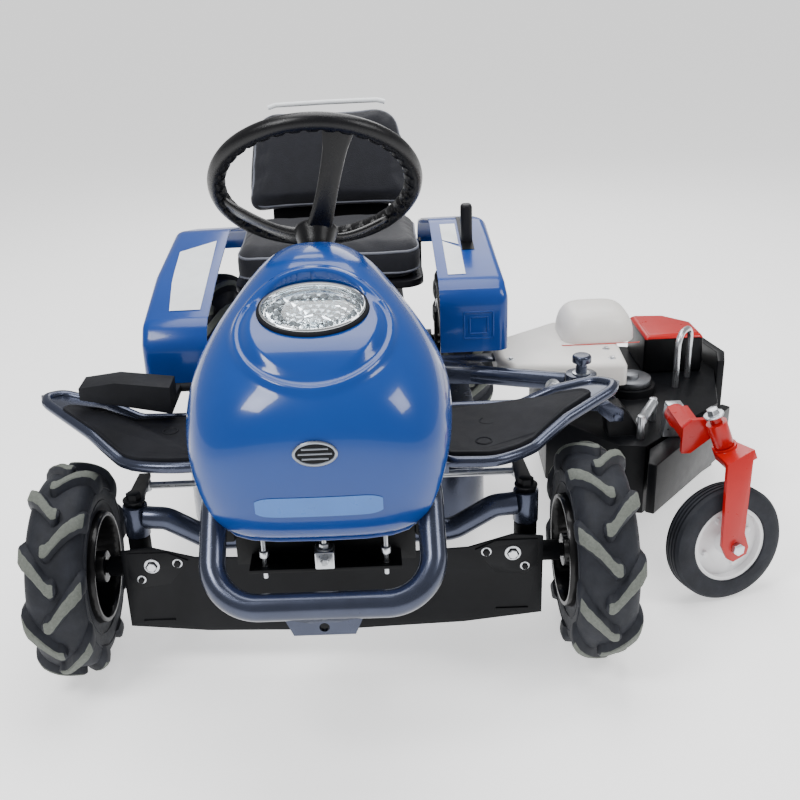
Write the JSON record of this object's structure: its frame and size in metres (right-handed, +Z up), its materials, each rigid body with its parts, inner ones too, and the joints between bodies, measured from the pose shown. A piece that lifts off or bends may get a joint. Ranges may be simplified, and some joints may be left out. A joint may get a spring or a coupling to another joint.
{
  "type": "ride-on brush mower",
  "caption": "Ride-on brush mower with a lift-off hood, tube bumper, lugged front tyres, belly cutting deck and a swing-out side cutting unit on a caster wheel.",
  "frame": {"origin": "middle of the whole machine's ground footprint, on the ground", "axes": "+Y from the nose to the tail, +X to the driver's left, +Z up"},
  "size_m": [1.51, 1.9333, 1.0086],
  "materials": {
    "frame_black": "satin black paint",
    "gunmetal": "metallic gunmetal paint",
    "black_satin": "satin black paint",
    "rim_black": "gloss black paint",
    "tyre": "moulded tyre rubber with worn lug tops",
    "cast_aluminium": "cast aluminium",
    "zinc": "zinc plated",
    "blade_steel": "ground steel",
    "hood_blue": "high gloss blue",
    "fender_blue": "gloss blue",
    "chrome": "bright chrome",
    "mirror": "faceted mirror",
    "clear_glass": "clear lens",
    "badge_grey": "satin metal badge",
    "black_plastic": "moulded black plastic",
    "black_rubber": "moulded rubber",
    "seat_cover": "charcoal vinyl",
    "signal_red": "gloss red paint",
    "white_rim": "gloss white paint",
    "white_cover": "off-white moulded plastic"
  },
  "bodies": {
    "chassis": {"frame_rails": "frame_black", "frame_crossmembers": "frame_black", "axle_pivot": "zinc", "front_bumper": "gunmetal", "transaxle": "cast_aluminium", "steering_column": "frame_black", "dash_cowl": "hood_blue", "fuel_tank": "black_plastic", "battery": "black_plastic", "footrest_left": "gunmetal", "footrest_right": "gunmetal", "footrest_pad_left": "black_rubber", "footrest_pad_right": "black_rubber", "fender_left": "fender_blue", "fender_right": "fender_blue", "engine": "cast_aluminium", "blower_housing": "black_plastic", "side_arm": "gunmetal", "belt_cover": "white_cover"},
    "front_axle": {"front_axle_beam": "gunmetal", "front_guard_plate": "black_satin"},
    "knuckle_left": {"steering_knuckle_left": "black_satin"},
    "knuckle_right": {"steering_knuckle_right": "black_satin"},
    "front_wheel_left": {"front_tyre_left": "tyre", "front_rim_left": "rim_black"},
    "front_wheel_right": {"front_tyre_right": "tyre", "front_rim_right": "rim_black"},
    "rear_wheel_left": {"rear_tyre_left": "tyre", "rear_rim_left": "rim_black"},
    "rear_wheel_right": {"rear_tyre_right": "tyre", "rear_rim_right": "rim_black"},
    "tie_rod": {"tie_rod": "zinc"},
    "steering_arm": {"steering_arm": "zinc"},
    "drop_shaft": {"steering_drop_shaft": "zinc"},
    "steering_wheel": {"steering_wheel_rim": "black_rubber", "steering_wheel_hub": "black_plastic"},
    "hood": {"hood_shell": "hood_blue", "headlight_bezel": "chrome", "headlight_reflector": "mirror", "headlight_lens": "clear_glass", "hood_badge": "badge_grey", "hood_pins": "zinc"},
    "pedal": {"drive_pedal": "black_rubber"},
    "seat": {"seat_pan": "black_plastic", "seat_cushion": "seat_cover", "seat_backrest": "seat_cover"},
    "main_deck": {"main_deck_shell": "gunmetal"},
    "main_blade": {"main_blade": "blade_steel"},
    "lift_lever": {"lift_lever": "black_plastic"},
    "side_carrier": {"side_carrier": "gunmetal"},
    "side_deck": {"side_deck_shell": "black_satin", "side_red_cover": "signal_red", "side_skirt": "black_satin", "side_deck_fittings": "zinc"},
    "side_blade": {"side_blade": "blade_steel"},
    "caster_arm": {"caster_arm": "signal_red"},
    "caster_fork": {"caster_fork": "signal_red", "caster_fasteners": "zinc"},
    "caster_wheel": {"caster_tyre": "tyre", "caster_rim": "white_rim"}
  },
  "joints": [
    {"name": "axle_rock", "type": "hinge", "parent": "chassis", "child": "front_axle", "pos_m": [-0.189, -0.60833, 0.318], "axis": [0, 1, 0], "range_deg": [-3, 3]},
    {"name": "steer_left", "type": "hinge", "parent": "front_axle", "child": "knuckle_left", "pos_m": [0.171, -0.59332, 0.3], "axis": [0, 0, 1], "range_deg": [-35.2, 35.2]},
    {"name": "steer_right", "type": "hinge", "parent": "front_axle", "child": "knuckle_right", "pos_m": [-0.549, -0.59332, 0.3], "axis": [0, 0, 1], "range_deg": [-35.2, 35.2]},
    {"name": "tie_rod_pivot", "type": "hinge", "parent": "knuckle_left", "child": "tie_rod", "pos_m": [0.171, -0.49333, 0.318], "axis": [0, 0, 1], "range_deg": [-35.2, 35.2]},
    {"name": "steering_arm_pivot", "type": "hinge", "parent": "front_axle", "child": "steering_arm", "pos_m": [-0.109, -0.59332, 0.3], "axis": [0, 0, 1], "range_deg": [-35.2, 35.2]},
    {"name": "drop_shaft_turn", "type": "hinge", "parent": "chassis", "child": "drop_shaft", "pos_m": [-0.109, -0.59332, 0.4], "axis": [0, 0, 1], "range_deg": [-35.2, 35.2]},
    {"name": "steering_wheel_turn", "type": "hinge", "parent": "chassis", "child": "steering_wheel", "pos_m": [-0.189, -0.38333, 0.863], "axis": [0, 0.7193, 0.6947], "range_deg": [-420, 420]},
    {"name": "front_wheel_left_spin", "type": "hinge", "parent": "knuckle_left", "child": "front_wheel_left", "pos_m": [0.296, -0.59332, 0.201], "axis": [1, 0, 0], "continuous": true},
    {"name": "front_wheel_right_spin", "type": "hinge", "parent": "knuckle_right", "child": "front_wheel_right", "pos_m": [-0.674, -0.59332, 0.201], "axis": [1, 0, 0], "continuous": true},
    {"name": "rear_wheel_left_spin", "type": "hinge", "parent": "chassis", "child": "rear_wheel_left", "pos_m": [0.161, 0.55668, 0.215], "axis": [1, 0, 0], "continuous": true},
    {"name": "rear_wheel_right_spin", "type": "hinge", "parent": "chassis", "child": "rear_wheel_right", "pos_m": [-0.539, 0.55668, 0.215], "axis": [1, 0, 0], "continuous": true},
    {"name": "hood_lift_off", "type": "slide", "parent": "chassis", "child": "hood", "axis": [0, 0, 1], "range_m": [0, 0.12]},
    {"name": "pedal_press", "type": "hinge", "parent": "chassis", "child": "pedal", "pos_m": [-0.492, -0.34832, 0.462], "axis": [1, 0, 0], "range_deg": [0, 8], "stiffness_Nm_per_rad": 14, "springref_deg": -17.19},
    {"name": "seat_adjust", "type": "slide", "parent": "chassis", "child": "seat", "axis": [0, 1, 0], "range_m": [-0.03, 0.03]},
    {"name": "deck_lift", "type": "slide", "parent": "chassis", "child": "main_deck", "axis": [0, 0, 1], "range_m": [0, 0.08]},
    {"name": "lift_lever_pull", "type": "hinge", "parent": "chassis", "child": "lift_lever", "pos_m": [0.124, 0.06767, 0.45], "axis": [1, 0, 0], "range_deg": [-25.5, 0.5]},
    {"name": "main_blade_spin", "type": "hinge", "parent": "main_deck", "child": "main_blade", "pos_m": [-0.189, -0.00332, 0.2], "axis": [0, 0, 1], "continuous": true},
    {"name": "side_swing", "type": "hinge", "parent": "chassis", "child": "side_carrier", "pos_m": [0.341, -0.22332, 0.35], "axis": [0, 0, 1], "range_deg": [0, 10], "stiffness_Nm_per_rad": 60, "springref_deg": -11.46},
    {"name": "side_tilt", "type": "hinge", "parent": "side_carrier", "child": "side_deck", "pos_m": [0.411, -0.22332, 0.318], "axis": [0, -1, 0], "range_deg": [-4, 7]},
    {"name": "side_blade_spin", "type": "hinge", "parent": "side_deck", "child": "side_blade", "pos_m": [0.501, -0.00332, 0.2], "axis": [0, 0, 1], "continuous": true},
    {"name": "caster_height", "type": "hinge", "parent": "side_deck", "child": "caster_arm", "pos_m": [0.532, -0.27832, 0.32], "axis": [0, -1, 0], "range_deg": [-8, 8]},
    {"name": "caster_swivel", "type": "hinge", "parent": "caster_arm", "child": "caster_fork", "pos_m": [0.566, -0.41132, 0.37], "axis": [-0.3584, 0, 0.9336], "range_deg": [-12, 225]},
    {"name": "caster_wheel_spin", "type": "hinge", "parent": "caster_fork", "child": "caster_wheel", "pos_m": [0.59, -0.45032, 0.1211], "axis": [0.29, -0.9505, 0.1113], "continuous": true}
  ],
  "couplings": [
    {"joint": "steer_left", "follows": "steering_wheel_turn", "ratio": 0.083333},
    {"joint": "steer_right", "follows": "steering_wheel_turn", "ratio": 0.083333},
    {"joint": "tie_rod_pivot", "follows": "steering_wheel_turn", "ratio": -0.083333},
    {"joint": "steering_arm_pivot", "follows": "steering_wheel_turn", "ratio": 0.083333},
    {"joint": "drop_shaft_turn", "follows": "steering_wheel_turn", "ratio": 0.083333},
    {"joint": "lift_lever_pull", "follows": "deck_lift", "rad_per_m": -5.454}
  ]
}
